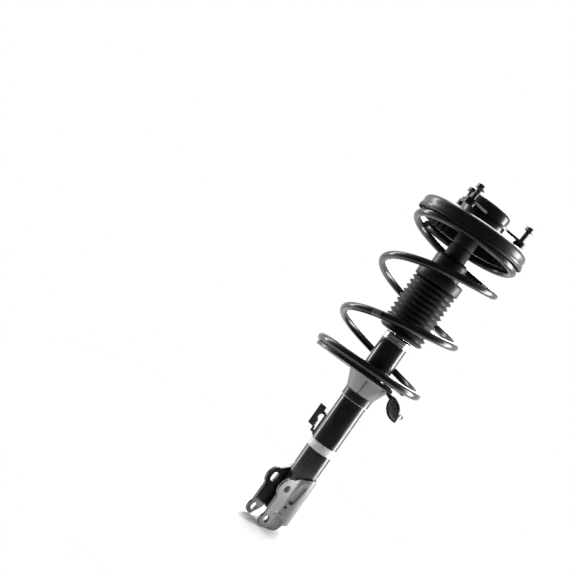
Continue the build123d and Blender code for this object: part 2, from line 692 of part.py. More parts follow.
with BuildPart() as mount_plate:
    for angle in STUD_ANGLES:
        with BuildSketch(PLATE_UNDER):
            Circle(RUBBER_R + 2)
            with Locations((STUD_CIRCLE_R * cos(radians(angle)), STUD_CIRCLE_R * sin(radians(angle)))):
                Circle(EAR_TIP_R)
            make_hull()
        extrude(amount=PLATE)
    with BuildSketch(PLATE_UNDER):
        Circle(CUP_R + PLATE_RIM)
    extrude(amount=PLATE)
    with BuildSketch(PLATE_UNDER):
        Circle(RUBBER_R)
        with PolarLocations(STUD_CIRCLE_R, 3, start_angle=STUD_ANGLES[0]):
            Circle(STUD_NECK_R)
    extrude(amount=PLATE, mode=Mode.SUBTRACT)
finish(mount_plate.part, "mount_plate")

with BuildPart() as mount_dome:
    with BuildSketch(MOUNT_PLANE):
        Circle(DOME_R)
    extrude(amount=DOME_HEIGHT)
    fillet(mount_dome.edges().group_by(Axis.Z)[-1], DOME_SHOULDER)
    offset(amount=-PRESSED_SHEET, openings=mount_dome.faces().filter_by(GeomType.PLANE).sort_by(Axis.Z)[0])
finish(mount_dome.part, "mount_dome")

with BuildPart() as mount_studs:
    for base, radius, length in (
        (-PLATE - STUD_HEAD, STUD_HEAD_R, STUD_HEAD),
        (-PLATE, STUD_NECK_R, PLATE),
        (0, STUD_R, NUT_FOOT),
        (NUT_FOOT, THREAD_ROOT_R, NUT_HEIGHT + 1),
    ):
        with BuildSketch(MOUNT_PLANE.offset(base)):
            with PolarLocations(STUD_CIRCLE_R, 3, start_angle=STUD_ANGLES[0]):
                Circle(radius)
        extrude(amount=length)
finish(mount_studs.part, "mount_studs")

with BuildPart() as stud_nuts:
    with BuildSketch(MOUNT_PLANE.offset(NUT_FOOT)):
        with PolarLocations(STUD_CIRCLE_R, 3, start_angle=STUD_ANGLES[0]):
            RegularPolygon(radius=NUT_APOTHEM, side_count=6, major_radius=False)
    extrude(amount=NUT_HEIGHT)
    with BuildSketch(MOUNT_PLANE.offset(NUT_FOOT)):
        with PolarLocations(STUD_CIRCLE_R, 3, start_angle=STUD_ANGLES[0]):
            Circle(NUT_FLANGE_R)
    extrude(amount=NUT_FLANGE)
    with BuildSketch(MOUNT_PLANE.offset(NUT_FOOT)):
        with PolarLocations(STUD_CIRCLE_R, 3, start_angle=STUD_ANGLES[0]):
            Circle(THREAD_ROOT_R)
    extrude(amount=NUT_HEIGHT, mode=Mode.SUBTRACT)
finish(stud_nuts.part, "stud_nuts")

# steel core of the rubber mount, clamped on the rod
CORE_R = 10.0
CORE_FLANGE_R = 16.0
CORE_TOP = 1.0
CORE_FLANGE = 3.0
finish(
    turned([
        (ROD_END_R, BUMP_TOP + WASHER), (CORE_R, BUMP_TOP + WASHER), (CORE_R, CORE_TOP - CORE_FLANGE),
        (CORE_FLANGE_R, CORE_TOP - CORE_FLANGE), (CORE_FLANGE_R, CORE_TOP), (ROD_END_R, CORE_TOP),
    ]),
    "mount_core",
)

with BuildPart() as mount_rubber:
    with BuildSketch(MOUNT_PLANE.offset(CUP_BOTTOM)):
        Circle(RUBBER_R)
    extrude(amount=RUBBER_TOP - CUP_BOTTOM)
    split(bisect_by=Plane.XY.offset(CUP_FLOOR), keep=Keep.TOP)
    with BuildSketch(Plane.XY.offset(CUP_BOTTOM)):
        Circle(CORE_R)
    extrude(amount=FAR, mode=Mode.SUBTRACT)
    with BuildSketch(Plane.XY.offset(CORE_TOP - CORE_FLANGE)):
        Circle(CORE_FLANGE_R)
    extrude(amount=FAR, mode=Mode.SUBTRACT)
finish(mount_rubber.part, "mount_rubber")

ROD_NUT_APOTHEM = 9.0
ROD_NUT_HEIGHT = 9.0
with BuildPart() as rod_nut:
    with BuildSketch(Plane.XY.offset(CORE_TOP)):
        RegularPolygon(radius=ROD_NUT_APOTHEM, side_count=6, major_radius=False)
        Circle(ROD_END_R, mode=Mode.SUBTRACT)
    extrude(amount=ROD_NUT_HEIGHT)
finish(rod_nut.part, "rod_nut")
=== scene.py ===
from math import ceil, cos, hypot, pi, radians, sin

import bpy
import numpy as np
from mathutils import Matrix, Vector


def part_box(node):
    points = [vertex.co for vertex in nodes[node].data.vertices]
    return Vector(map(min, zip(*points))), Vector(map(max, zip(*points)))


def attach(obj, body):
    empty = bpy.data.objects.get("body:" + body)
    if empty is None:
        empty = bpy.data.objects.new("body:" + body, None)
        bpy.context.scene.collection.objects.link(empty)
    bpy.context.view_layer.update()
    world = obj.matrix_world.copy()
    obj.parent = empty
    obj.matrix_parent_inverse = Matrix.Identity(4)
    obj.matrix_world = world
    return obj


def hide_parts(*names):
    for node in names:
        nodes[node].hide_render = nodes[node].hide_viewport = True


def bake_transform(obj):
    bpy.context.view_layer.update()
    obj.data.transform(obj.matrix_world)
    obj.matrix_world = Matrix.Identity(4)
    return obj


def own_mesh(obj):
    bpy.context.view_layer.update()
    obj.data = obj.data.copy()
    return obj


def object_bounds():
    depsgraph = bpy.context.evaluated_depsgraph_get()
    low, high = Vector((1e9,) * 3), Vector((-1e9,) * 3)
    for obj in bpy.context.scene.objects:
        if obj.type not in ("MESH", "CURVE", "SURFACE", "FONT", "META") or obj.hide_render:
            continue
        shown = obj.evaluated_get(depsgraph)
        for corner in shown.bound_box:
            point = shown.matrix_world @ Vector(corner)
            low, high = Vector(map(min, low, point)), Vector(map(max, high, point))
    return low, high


# Looks for the strut. Metres, in the CAD's frame: the damper axis is +Z, the origin is the centre of the
# three studs on the mount plate's top face, and the knuckle bracket opens towards -Y.

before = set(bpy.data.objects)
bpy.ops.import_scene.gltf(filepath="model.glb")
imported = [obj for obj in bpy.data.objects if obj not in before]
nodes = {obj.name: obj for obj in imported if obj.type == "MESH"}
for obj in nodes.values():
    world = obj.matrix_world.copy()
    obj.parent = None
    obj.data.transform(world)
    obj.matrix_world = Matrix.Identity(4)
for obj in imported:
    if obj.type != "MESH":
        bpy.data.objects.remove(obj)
cad_low, cad_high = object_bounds()

MM = 0.001
VIEW_AZIMUTH = radians(36.8)  # where the photograph was taken from, round Z from -Y towards +X

# ---------------------------------------------------------------- sizes, read from the frame where possible

TUBE_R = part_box("strut_tube")[1].x
TUBE_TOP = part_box("strut_tube")[1].z
GLAND_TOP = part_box("gland_nut")[1].z
ROD_R = 10.0 * MM
COLLAR_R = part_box("seat_collar")[1].x
COLLAR_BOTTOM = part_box("seat_collar")[0].z
COLLAR_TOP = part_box("seat_collar")[1].z
UPPER_SEAT_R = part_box("upper_seat")[1].x
UPPER_SEAT_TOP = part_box("upper_seat")[1].z
UPPER_SEAT_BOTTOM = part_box("upper_seat")[0].z
BUMP_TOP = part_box("bump_stop")[1].z
BUMP_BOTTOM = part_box("bump_stop")[0].z
BUMP_R = 18.0 * MM
BOOT_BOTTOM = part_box("dust_boot")[0].z
CUFF_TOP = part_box("dust_boot")[1].z
BOOT_TIP_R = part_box("dust_boot")[1].x

# the coil's path, as in the CAD: its start, end, ramps and ease are in turns, and its tilts are slopes
WIRE_R = 6.2 * MM
COIL_R = 84.0 * MM
COIL_START = -0.4
COIL_END = 3.9
COIL_PITCH = 97.0 * MM
PITCH_RAMP_UP = (0.2, 0.67)
PITCH_RAMP_DOWN = (2.65, 3.23)
COIL_RISE = COIL_PITCH * (sum(PITCH_RAMP_DOWN) - sum(PITCH_RAMP_UP)) / 2
COIL_ZERO_ANGLE = radians(216.9)
COIL_BOTTOM_Z = -297.0 * MM
SEAT_OFFSET = (3.0 * MM, -25.0 * MM)
SEAT_TILT = 0.10
TAIL_TILT = 0.03
TOP_COIL_TILT = 0.08
TAIL_EASE = 0.05
SEAT_HEADING = radians(-53.1)
DAB_TURN = 1.18  # where the paint dab is on the wire, in turns
DAB_HALF = 0.014  # half its length, in turns

# under and over the coil, as in the CAD
PAD = 2.0 * MM
SPRING_GAP = 0.5 * MM
SEAT_SHEET = 2.5 * MM

# top mount
MOUNT_TILT = radians(5.0)
STUD_CIRCLE_R = 68.0 * MM
STUD_ANGLES = (-78, 42, 162)  # degrees round Z from +X
STUD_LENGTH = 24.5 * MM
NUT_HEIGHT = 7.5 * MM
PLATE = 4.0 * MM  # the mount plate's thickness
MOUNT_MATRIX = Matrix.Rotation(MOUNT_TILT, 4, "Y")

# boot
BOOT_BAND_BOTTOM = -134.0 * MM
BOOT_BAND_TOP = -115.0 * MM
BOOT_ROOT_R = 33.0 * MM
BOOT_PLEATS = 11
BOOT_WALL = 1.6 * MM
CUFF_R = 27.0 * MM


# ---------------------------------------------------------------- mesh helpers


def make_piece(name, vertices, faces, material, sharp=35):
    """A mesh object from points and faces, smooth except at edges sharper than the given angle."""
    mesh = bpy.data.meshes.new(name)
    mesh.from_pydata([tuple(v) for v in vertices], [], faces)
    mesh.validate()
    mesh.shade_smooth()
    mesh.set_sharp_from_angle(angle=radians(sharp))
    mesh.materials.append(material)
    piece = bpy.data.objects.new(name, mesh)
    bpy.context.scene.collection.objects.link(piece)
    return piece


def skin_faces(rings, count, offset=0, closed=False, capped=False):
    """Quads between neighbouring rings. closed joins the last ring to the first; capped adds end faces."""
    faces = []
    for ring in range(rings if closed else rings - 1):
        here = offset + ring * count
        there = offset + (ring + 1) % rings * count
        for step in range(count):
            follow = (step + 1) % count
            faces.append((here + step, here + follow, there + follow, there + step))
    if capped:
        faces.append(tuple(offset + step for step in reversed(range(count))))
        faces.append(tuple(offset + (rings - 1) * count + step for step in range(count)))
    return faces


def rounded(outline, size, steps=3):
    """A closed outline with each corner cut back by size and carried round in a short curve."""
    most = 0.45  # share of a side that one corner may take
    points = [Vector(point) for point in outline]
    result = []
    for index, corner in enumerate(points):
        before = points[index - 1] - corner
        after = points[(index + 1) % len(points)] - corner
        start = corner + before.normalized() * min(size, before.length * most)
        end = corner + after.normalized() * min(size, after.length * most)
        for step in range(steps + 1):
            t = step / steps
            result.append((1 - t) ** 2 * start + 2 * t * (1 - t) * corner + t**2 * end)
    return result


def lathe(name, outline, material, segments=128, sharp=35):
    """A piece turned about the damper axis from a closed outline of (radius, height) points."""
    angles = [2 * pi * step / segments for step in range(segments)]
    vertices = [(r * cos(a), r * sin(a), z) for r, z in outline for a in angles]
    return make_piece(name, vertices, skin_faces(len(outline), segments, closed=True), material, sharp)


def tube_rings(points, radii, sides, closed=False):
    """Rings of points round a path, one for each point of the path, without twist."""
    path = [Vector(point) for point in points]
    total = len(path)
    rings = []
    normal = None
    for index, point in enumerate(path):
        ahead = path[(index + 1) % total] if closed else path[min(index + 1, total - 1)]
        behind = path[index - 1] if closed else path[max(index - 1, 0)]
        tangent = (ahead - behind).normalized()
        if normal is None:
            normal = tangent.orthogonal().normalized()
        normal = (normal - tangent * normal.dot(tangent)).normalized()
        across = tangent.cross(normal)
        for side in range(sides):
            angle = 2 * pi * side / sides
            rings.append(point + radii[index] * (cos(angle) * normal + sin(angle) * across))
    return rings


def eased(value, start, end):
    """0 before start, 1 after end, and a smooth step between them."""
    part = min(1.0, max(0.0, (value - start) / (end - start)))
    return part**2 * (3 - 2 * part)


# ---------------------------------------------------------------- materials


class Shader:
    """One Principled material and short calls for the nodes that feed it."""

    # a Mix node's colour sockets, by number, because its number and vector sockets have the same names
    COLOUR_A = 6
    COLOUR_B = 7
    COLOUR_RESULT = 2

    def __init__(self, name, metallic=0.0, coat=0.0, coat_roughness=0.1, specular=0.5):
        self.material = bpy.data.materials.new(name)
        self.material.use_nodes = True
        self.tree = self.material.node_tree
        self.bsdf = self.tree.nodes["Principled BSDF"]
        self.bsdf.inputs["Metallic"].default_value = metallic
        self.bsdf.inputs["Coat Weight"].default_value = coat
        self.bsdf.inputs["Coat Roughness"].default_value = coat_roughness
        self.bsdf.inputs["Specular IOR Level"].default_value = specular
        self.place = self.node("ShaderNodeTexCoord").outputs["Object"]

    def node(self, kind):
        """A new node of this kind."""
        return self.tree.nodes.new(kind)

    def join(self, source, target):
        """A link from an output to an input."""
        self.tree.links.new(source, target)

    def noise(self, scale, detail=3.0, stretch=None):
        """Noise from 0 to 1; stretch divides its size along each axis."""
        texture = self.node("ShaderNodeTexNoise")
        texture.inputs["Scale"].default_value = scale
        texture.inputs["Detail"].default_value = detail
        place = self.place
        if stretch:
            mapping = self.node("ShaderNodeMapping")
            mapping.inputs["Scale"].default_value = stretch
            self.join(self.place, mapping.inputs["Vector"])
            place = mapping.outputs["Vector"]
        self.join(place, texture.inputs["Vector"])
        return texture.outputs["Fac"]

    def spread(self, value, from_low, from_high, to_low, to_high):
        """A value carried from one range to another, and held inside it."""
        ranged = self.node("ShaderNodeMapRange")
        numbers = (("From Min", from_low), ("From Max", from_high), ("To Min", to_low), ("To Max", to_high))
        for socket, number in numbers:
            ranged.inputs[socket].default_value = number
        self.join(value, ranged.inputs["Value"])
        return ranged.outputs["Result"]

    def math(self, operation, first, second=0.0):
        """One or two values, each a socket or a number, put through one operation."""
        node = self.node("ShaderNodeMath")
        node.operation = operation
        for index, value in enumerate((first, second)):
            if isinstance(value, (int, float)):
                node.inputs[index].default_value = value
            else:
                self.join(value, node.inputs[index])
        return node.outputs["Value"]

    def mix(self, factor, first, second):
        """A colour between two others, which are colours or sockets."""
        node = self.node("ShaderNodeMix")
        node.data_type = "RGBA"
        self.join(factor, node.inputs["Factor"])
        for index, value in ((self.COLOUR_A, first), (self.COLOUR_B, second)):
            if isinstance(value, tuple):
                node.inputs[index].default_value = (*value, 1.0)
            else:
                self.join(value, node.inputs[index])
        return node.outputs[self.COLOUR_RESULT]

    def axis(self, name):
        """One coordinate of the place on the piece."""
        split = self.node("ShaderNodeSeparateXYZ")
        self.join(self.place, split.inputs["Vector"])
        return split.outputs[name]

    def edges(self, radius):
        """Rounded normals near edges, and a mask that is 1 on the edges themselves."""
        flat = 0.995  # how well the two normals agree where the mask starts, and where it is full
        turned = 0.90
        bevel = self.node("ShaderNodeBevel")
        bevel.samples = 6
        bevel.inputs["Radius"].default_value = radius
        geometry = self.node("ShaderNodeNewGeometry")
        match = self.node("ShaderNodeVectorMath")
        match.operation = "DOT_PRODUCT"
        self.join(bevel.outputs["Normal"], match.inputs[0])
        self.join(geometry.outputs["Normal"], match.inputs[1])
        return bevel.outputs["Normal"], self.spread(match.outputs["Value"], flat, turned, 0.0, 1.0)

    def bump(self, height, distance, strength, normal=None):
        """A normal from a height, on top of another normal where there is one."""
        node = self.node("ShaderNodeBump")
        node.inputs["Distance"].default_value = distance
        node.inputs["Strength"].default_value = strength
        self.join(height, node.inputs["Height"])
        if normal is not None:
            self.join(normal, node.inputs["Normal"])
        return node.outputs["Normal"]

    def finish(self, colour, roughness, normal):
        """The material, once its three inputs are joined."""
        self.join(colour, self.bsdf.inputs["Base Color"])
        self.join(roughness, self.bsdf.inputs["Roughness"])
        self.join(normal, self.bsdf.inputs["Normal"])
        return self.material


def grey(level, warmth=0.0):
    """A near-neutral colour."""
    return (level * (1 + warmth), level, level * (1 - warmth))


def coated_steel(name, dark, light, roughness, wear_and_highlight_level, edge_radius=0.8 * MM, coat=0.25, metallic=0.0):
    """A coat over pressed steel: cloudy tone, orange peel, dust, and a paler tone on the edges, partly edge
    wear and partly a painted edge highlight.
    """
    shader = Shader(name, metallic=metallic, coat=coat, coat_roughness=0.16, specular=0.4)
    cloud = shader.noise(26.0, 4.0)
    specks = shader.spread(shader.noise(420.0, 2.0), 0.66, 0.78, 0.0, 0.35)
    body = shader.mix(shader.spread(cloud, 0.3, 0.7, 0.0, 1.0), grey(dark), grey(light))
    dusty = shader.mix(specks, body, grey(light * 2.2))
    smooth_normal, edge = shader.edges(edge_radius)
    # paler tone on the edges: partly wear, partly a painted edge highlight
    wear_and_edge_highlight = shader.math("MULTIPLY", edge, shader.spread(shader.noise(150.0, 3.0), 0.38, 0.66, 0.15, 1.0))
    colour = shader.mix(wear_and_edge_highlight, dusty, grey(wear_and_highlight_level))
    streaks = shader.spread(shader.noise(60.0, 5.0), 0.3, 0.7, roughness - 0.06, roughness + 0.08)
    normal = shader.bump(shader.noise(700.0, 2.0), 0.06 * MM, 0.35, smooth_normal)
    return shader.finish(colour, streaks, normal)


def coil_paint():
    """Gloss black powder coat, with one dab of grey marking paint across the wire."""
    shader = Shader("coil_paint", coat=0.3, coat_roughness=0.10, specular=0.3)
    body = shader.mix(shader.spread(shader.noise(30.0, 4.0), 0.3, 0.7, 0.0, 1.0), grey(0.004), grey(0.010))
    turn = shader.node("ShaderNodeAttribute")
    turn.attribute_name = "turn"
    away = shader.math("ABSOLUTE", shader.math("SUBTRACT", turn.outputs["Fac"], DAB_TURN))
    ragged = shader.math("ADD", away, shader.spread(shader.noise(160.0, 3.0), 0.3, 0.7, -0.002, 0.002))
    dab = shader.spread(ragged, DAB_HALF, DAB_HALF * 0.86, 0.0, 0.9)
    colour = shader.mix(dab, body, grey(0.16, -0.03))
    roughness = shader.spread(shader.noise(75.0, 5.0), 0.3, 0.7, 0.20, 0.32)
    normal = shader.bump(shader.noise(520.0, 2.0), 0.05 * MM, 0.3)
    return shader.finish(colour, roughness, normal)


def bright_steel(name, level, roughness, rings=0.0):
    """Bare or plated steel, with a painted highlight on its edges. rings adds the fine lines that turning
    leaves round a part.
    """
    shader = Shader(name, metallic=1.0)
    cloud = shader.spread(shader.noise(90.0, 4.0), 0.3, 0.7, 0.0, 1.0)
    colour = shader.mix(cloud, grey(level * 0.82), grey(level, 0.01))
    smooth_normal, edge = shader.edges(0.35 * MM)
    # a paler tone on the edges: a painted edge highlight
    colour_with_painted_highlight = shader.mix(shader.math("MULTIPLY", edge, 0.6), colour, grey(min(1.0, level * 1.25)))
    scuffs = shader.spread(shader.noise(240.0, 4.0), 0.3, 0.7, roughness - 0.08, roughness + 0.12)
    stretch = (0.4, 0.4, 24.0) if rings else (6.0, 6.0, 6.0)
    lines = shader.noise(100.0, 2.0, stretch)
    normal = shader.bump(lines, 0.02 * MM, 0.15 + rings, smooth_normal)
    return shader.finish(colour_with_painted_highlight, scuffs, normal)


def zinc_plate():
    """Dull zinc on fasteners, with dark handling marks in patches and a painted highlight on the edges."""
    shader = Shader("zinc_plate", metallic=1.0)
    marks = shader.spread(shader.noise(210.0, 5.0), 0.34, 0.60, 0.0, 1.0)
    colour = shader.mix(marks, grey(0.30, 0.01), grey(0.07))
    smooth_normal, edge = shader.edges(0.3 * MM)
    # a paler tone on the edges: a painted edge highlight
    colour = shader.mix(shader.math("MULTIPLY", edge, 0.5), colour, grey(0.5))
    roughness = shader.spread(shader.noise(330.0, 4.0), 0.3, 0.7, 0.28, 0.5)
    normal = shader.bump(shader.noise(800.0, 2.0), 0.04 * MM, 0.3, smooth_normal)
    return shader.finish(colour, roughness, normal)


def rubber(name, level, roughness, grain=900.0, depth=0.08, specular=0.45):
    """Moulded black rubber with a fine grain and a little pale dust."""
    shader = Shader(name, specular=specular)
    bloom = shader.spread(shader.noise(34.0, 5.0), 0.42, 0.72, 0.0, 0.5)
    dust = shader.spread(shader.noise(480.0, 2.0), 0.62, 0.74, 0.0, 0.4)
    colour = shader.mix(dust, shader.mix(bloom, grey(level), grey(level * 1.9)), grey(level * 3.2))
    tone = shader.spread(shader.noise(70.0, 4.0), 0.3, 0.7, roughness - 0.07, roughness + 0.07)
    return shader.finish(colour, tone, shader.bump(shader.noise(grain, 3.0), depth * MM, 0.5))


def foam():
    """Cellular elastomer: matt, with open pores that are painted darker inside as painted shade."""
    shader = Shader("stop_foam", specular=0.35)
    cells = shader.node("ShaderNodeTexVoronoi")
    cells.inputs["Scale"].default_value = 650.0
    shader.join(shader.place, cells.inputs["Vector"])
    pores_and_pore_shade = shader.spread(cells.outputs["Distance"], 0.05, 0.45, 0.0, 1.0)
    # darker where each pore sinks: painted shade in the pores
    colour = shader.mix(pores_and_pore_shade, grey(0.008), grey(0.024))
    roughness = shader.spread(shader.noise(60.0, 3.0), 0.3, 0.7, 0.6, 0.78)
    return shader.finish(colour, roughness, shader.bump(pores_and_pore_shade, 0.15 * MM, 0.6))


def label_film():
    """Plain pale label film, a little scuffed, with a thin line near each edge. It carries no text."""
    shader = Shader("label_film", coat=0.2, coat_roughness=0.3)
    low, high = (corner.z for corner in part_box("label_band"))
    middle = (low + high) / 2
    half = (high - low) / 2
    line_inset = 1.5 * MM
    away = shader.math("ABSOLUTE", shader.math("SUBTRACT", shader.axis("Z"), middle))
    from_line = shader.math("ABSOLUTE", shader.math("SUBTRACT", away, half - line_inset))
    line = shader.spread(from_line, 0.28 * MM, 0.12 * MM, 0.0, 0.55)
    scuffs = shader.spread(shader.noise(120.0, 5.0), 0.35, 0.7, 0.0, 1.0)
    scuffed = shader.mix(scuffs, grey(0.72), grey(0.58))
    colour = shader.mix(line, scuffed, grey(0.2))
    roughness = shader.spread(shader.noise(200.0, 3.0), 0.3, 0.7, 0.38, 0.55)
    return shader.finish(colour, roughness, shader.bump(shader.noise(900.0, 2.0), 0.02 * MM, 0.3))


BLACK_COAT = coated_steel("black_coat", 0.004, 0.010, 0.30, wear_and_highlight_level=0.05)
TUBE_COAT = coated_steel("tube_coat", 0.004, 0.010, 0.24, wear_and_highlight_level=0.05, coat=0.4)
SEAT_COAT = coated_steel("seat_coat", 0.005, 0.012, 0.32, wear_and_highlight_level=0.07)
# The cone's and the bracket's coats are lighter, part-metallic copies of the black coat: a painted sheen that
# stands in for reflected light.
PAINTED_SHEEN_COAT = coated_steel("painted_sheen_coat", 0.13, 0.20, 0.30, wear_and_highlight_level=0.3, metallic=0.7)
BRACKET_PAINTED_SHEEN_COAT = coated_steel("bracket_painted_sheen_coat", 0.10, 0.16, 0.30, wear_and_highlight_level=0.30, edge_radius=1.0 * MM,
                            coat=0.4, metallic=0.7)
WELD_COAT = coated_steel("weld_coat", 0.006, 0.015, 0.36, wear_and_highlight_level=0.10, edge_radius=0.4 * MM)
COIL_PAINT = coil_paint()
ZINC = zinc_plate()
BRIGHT = bright_steel("bright_steel", 0.72, 0.22, rings=0.1)
BARE = bright_steel("bare_steel", 0.50, 0.36)
CHROME = bright_steel("chromed_rod", 0.80, 0.12)
MATT_RUBBER = rubber("matt_rubber", 0.006, 0.55)
BOOT_RUBBER = rubber("boot_rubber", 0.005, 0.42, grain=600.0, depth=0.06, specular=0.4)
BAND_PLASTIC = rubber("band_plastic", 0.05, 0.5)
FOAM = foam()
LABEL = label_film()


def paint_cad_nodes():
    """Give every CAD node its material. Those that a new piece stands for are hidden later."""
    by_material = {
        BLACK_COAT: ("mount_plate", "mount_dome", "bearing_cup", "hose_bracket", "clip_tab", "tube_base"),
        TUBE_COAT: ("strut_tube",),
        SEAT_COAT: ("lower_seat", "upper_seat", "seat_collar"),
        PAINTED_SHEEN_COAT: ("seat_cone",),
        BRACKET_PAINTED_SHEEN_COAT: ("knuckle_bracket",),
        COIL_PAINT: ("coil_spring",),
        ZINC: ("mount_studs", "stud_nuts", "tab_nut", "tab_stud", "rod_nut"),
        BRIGHT: ("gland_nut",),
        BARE: ("piston", "piston_nut", "rebound_stop", "rod_guide", "pressure_tube", "base_valve",
               "mount_core", "bump_washer", "upper_race", "lower_race", "bearing_balls"),
        CHROME: ("piston_rod",),
        MATT_RUBBER: ("rod_seal", "mount_rubber", "upper_isolator", "lower_pad"),
        BOOT_RUBBER: ("dust_boot",),
        BAND_PLASTIC: ("piston_band",),
        FOAM: ("bump_stop",),
        LABEL: ("label_band",),
    }
    for material, names in by_material.items():
        for name in names:
            nodes[name].data.materials.clear()
            nodes[name].data.materials.append(material)


# ---------------------------------------------------------------- coil spring


def ramp_area(turns, start, end):
    """Area under a straight ramp from 0 to 1 between start and end."""
    if turns <= start:
        return 0.0
    if turns >= end:
        return turns - (start + end) / 2
    return (turns - start) ** 2 / (2 * (end - start))


def coil_section(turns):
    """The wire's centre after this many turns, and how far it is towards the lower seat, from 0 to 1."""
    climb = ramp_area(turns, *PITCH_RAMP_UP) - ramp_area(turns, *PITCH_RAMP_DOWN)
    lean = 1 - COIL_PITCH * climb / COIL_RISE
    angle = COIL_ZERO_ANGLE + 2 * pi * turns
    tilt = TAIL_TILT + (SEAT_TILT - TAIL_TILT) * eased(turns, -TAIL_EASE, TAIL_EASE)
    tilt += (TOP_COIL_TILT - SEAT_TILT) * eased(turns, *PITCH_RAMP_DOWN)
    point = Vector((
        SEAT_OFFSET[0] * lean + COIL_R * cos(angle),
        SEAT_OFFSET[1] * lean + COIL_R * sin(angle),
        COIL_BOTTOM_Z + COIL_PITCH * climb + COIL_R * tilt * cos(angle - SEAT_HEADING),
    ))
    return point, lean


def build_coil():
    """The wire along the coil's path, from its start to its end."""
    sections_per_turn = 110
    sides = 28
    chamfer = 0.9 * MM
    count = ceil((COIL_END - COIL_START) * sections_per_turn)
    turns = [COIL_START + (COIL_END - COIL_START) * step / count for step in range(count + 1)]
    chamfer_turn = chamfer / (2 * pi * COIL_R)
    turns = [turns[0], turns[0] + chamfer_turn, *turns[1:-1], turns[-1] - chamfer_turn, turns[-1]]
    sections = [coil_section(turn) for turn in turns]
    radii = [WIRE_R] * len(turns)
    radii[0] = radii[-1] = WIRE_R - chamfer
    vertices = tube_rings([point for point, _ in sections], radii, sides)
    coil = make_piece("coil_wire", vertices, skin_faces(len(turns), sides, capped=True), COIL_PAINT)
    turn_values = np.repeat(np.array(turns, np.float32), sides)
    coil.data.attributes.new("turn", "FLOAT", "POINT").data.foreach_set("value", turn_values)
    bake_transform(coil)
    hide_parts("coil_spring")


# ---------------------------------------------------------------- boot and bump stop


def pleat_outline(shift):
    """Half of the boot's section: rounded pleats from the open foot up to the smooth band."""
    pitch = (BOOT_BAND_BOTTOM - BOOT_BOTTOM) / BOOT_PLEATS
    lip = 0.09  # share of a pleat that its root takes up, and half the share of its blunt tip
    blunting = 0.5 * MM
    points = []
    for pleat in range(BOOT_PLEATS):
        foot = BOOT_BOTTOM + pleat * pitch
        points.append((BOOT_ROOT_R - shift, foot + lip * pitch * 0.5))
        points.append((BOOT_TIP_R - blunting - shift, foot + (0.5 - lip) * pitch))
        points.append((BOOT_TIP_R - shift, foot + 0.5 * pitch))
        points.append((BOOT_TIP_R - blunting - shift, foot + (0.5 + lip) * pitch))
        points.append((BOOT_ROOT_R - shift, foot + (1 - lip * 0.5) * pitch))
    return points


def build_boot():
    """The pleated boot and the cuff above it."""
    band = [
        (BOOT_TIP_R - 1.2 * MM, BOOT_BAND_BOTTOM + 1.0 * MM),
        (BOOT_TIP_R, BOOT_BAND_BOTTOM + 2.4 * MM),
        (BOOT_TIP_R, BOOT_BAND_TOP - 2.6 * MM),
        (BOOT_TIP_R - 0.8 * MM, BOOT_BAND_TOP - 0.7 * MM),
        (BOOT_TIP_R - 2.6 * MM, BOOT_BAND_TOP),
        (CUFF_R, BOOT_BAND_TOP),
    ]
    inner_band = [(r - BOOT_WALL, z - (BOOT_WALL if z > BOOT_BAND_TOP - 1 * MM else 0)) for r, z in band]
    outline = pleat_outline(0) + band + inner_band[::-1] + pleat_outline(BOOT_WALL)[::-1]
    boot = lathe("boot_pleats", outline, BOOT_RUBBER, segments=160, sharp=60)
    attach(boot, "top_mount")
    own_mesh(boot)
    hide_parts("dust_boot")
    grip = BUMP_R + 0.3 * MM
    cuff_outline = [
        (grip, BOOT_BAND_TOP - BOOT_WALL), (CUFF_R, BOOT_BAND_TOP - BOOT_WALL), (CUFF_R, CUFF_TOP - 6 * MM),
        (CUFF_R - 1.6 * MM, CUFF_TOP - 2.4 * MM), (CUFF_R - 5 * MM, CUFF_TOP), (grip, CUFF_TOP),
    ]
    cuff = lathe("boot_cuff", rounded(cuff_outline, 1.4 * MM), BOOT_RUBBER)
    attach(cuff, "top_mount")


def build_bump_stop():
    """Foam stop with a narrower nose and one soft waist."""
    waist = -62.0 * MM
    nose_r = 16.0 * MM
    outline = [
        (ROD_R, BUMP_BOTTOM), (nose_r - 3 * MM, BUMP_BOTTOM), (nose_r, BUMP_BOTTOM + 6 * MM),
        (nose_r, BOOT_BAND_TOP - 4 * MM), (BUMP_R, BOOT_BAND_TOP - 2 * MM), (BUMP_R, waist - 4 * MM),
        (BUMP_R - 1.5 * MM, waist), (BUMP_R, waist + 4 * MM), (BUMP_R, BUMP_TOP), (ROD_R, BUMP_TOP),
    ]
    stop = lathe("foam_stop", rounded(outline, 2.2 * MM), FOAM)
    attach(stop, "top_mount")
    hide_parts("bump_stop")


# ---------------------------------------------------------------- seats


def build_collar():
    """The collar on the tube, with rounded edges."""
    outline = [
        (TUBE_R, COLLAR_BOTTOM), (COLLAR_R, COLLAR_BOTTOM), (COLLAR_R, COLLAR_TOP), (TUBE_R, COLLAR_TOP),
    ]
    collar = lathe("collar_ring", rounded(outline, 0.6 * MM), SEAT_COAT)
    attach(collar, "strut_lower")
    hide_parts("seat_collar")


def build_collar_highlight_band():
    """A thin band of bare steel under the collar, put there as a painted highlight along the collar's lower
    edge.
    """
    outer_r = COLLAR_R + 0.1 * MM
    bottom = COLLAR_BOTTOM - 1.1 * MM
    outline = [(TUBE_R, bottom), (outer_r, bottom), (outer_r, COLLAR_BOTTOM), (TUBE_R, COLLAR_BOTTOM)]
    edge = lathe("collar_highlight_band", rounded(outline, 0.3 * MM), BARE)
    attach(edge, "strut_lower")


